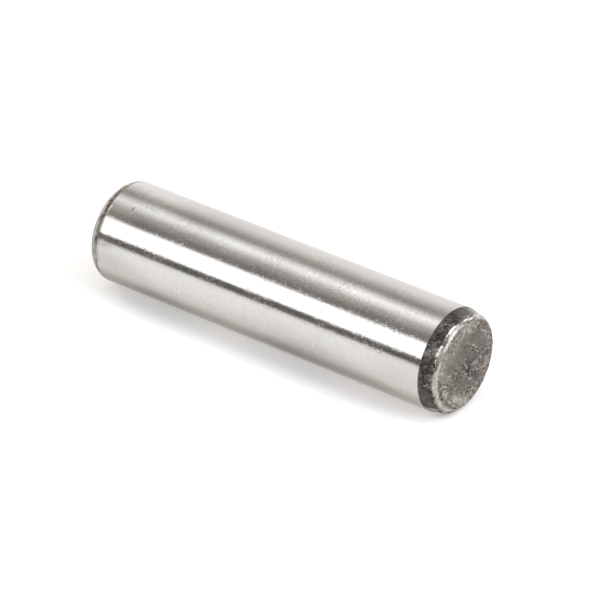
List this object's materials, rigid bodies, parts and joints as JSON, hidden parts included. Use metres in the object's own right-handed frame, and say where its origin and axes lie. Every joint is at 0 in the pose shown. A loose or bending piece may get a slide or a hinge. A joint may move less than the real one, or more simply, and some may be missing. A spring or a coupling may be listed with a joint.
{
  "type": "dowel pin",
  "caption": "Ground cylindrical dowel pin of hardened steel with an unground lead taper, a broken edge and a rounded foot.",
  "frame": {"origin": "centre of the flat foot, on the pin's axis", "axes": "+Z along the pin's axis, from the rounded foot to the end with the lead taper"},
  "size_m": [0.0126, 0.0126, 0.0508],
  "materials": {
    "hardened_steel": "ground bright on the shank, dark furnace scale on the taper and the rim, dull grey worn end face"
  },
  "bodies": {
    "root": {"dowel_pin": "hardened_steel"}
  },
  "joints": []
}
